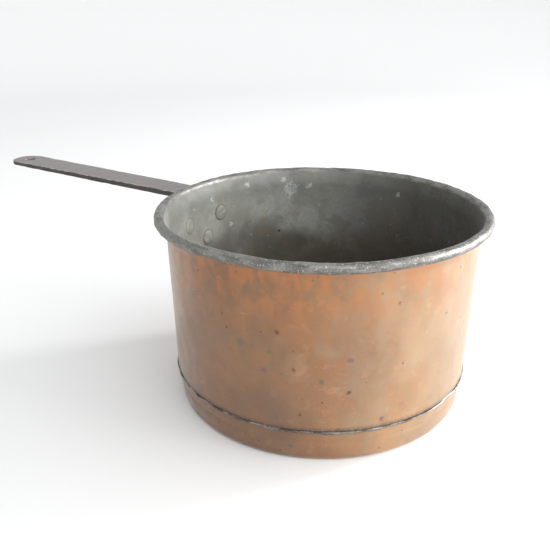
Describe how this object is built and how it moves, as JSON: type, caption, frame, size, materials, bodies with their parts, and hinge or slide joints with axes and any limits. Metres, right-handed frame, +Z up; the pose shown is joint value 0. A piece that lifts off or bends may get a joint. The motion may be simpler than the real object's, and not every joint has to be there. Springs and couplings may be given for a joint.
{
  "type": "saucepan",
  "caption": "Deep round copper saucepan with a wired rim, soldered-in base cup, tinned inside and a riveted flat iron strap handle.",
  "frame": {"origin": "centre of the pan's flat underside", "axes": "+Z up along the pan's axis, handle along -X, +Y to the pan's far side when the handle is on the left"},
  "size_m": [0.4939, 0.2468, 0.1467],
  "materials": {
    "copper": "aged, hand-worn sheet copper with brown patina",
    "braze": "hammered flat and dulled",
    "iron_wire": "drawn, black",
    "solder": "dull grey soft solder",
    "tin": "wiped tin, darkened and mottled with use",
    "forged_iron": "hand forged, dark brown oxide with worn edges",
    "rivet_copper": "hammered rivet heads, tinned on the inside"
  },
  "bodies": {
    "root": {"side_wall": "copper", "wall_seam": "braze", "rim_wire": "iron_wire", "base_cup": "copper", "base_solder": "solder", "tin_lining": "tin", "handle": "forged_iron", "rivet_front": "rivet_copper", "rivet_back": "rivet_copper", "rivet_lower": "rivet_copper"}
  },
  "joints": []
}
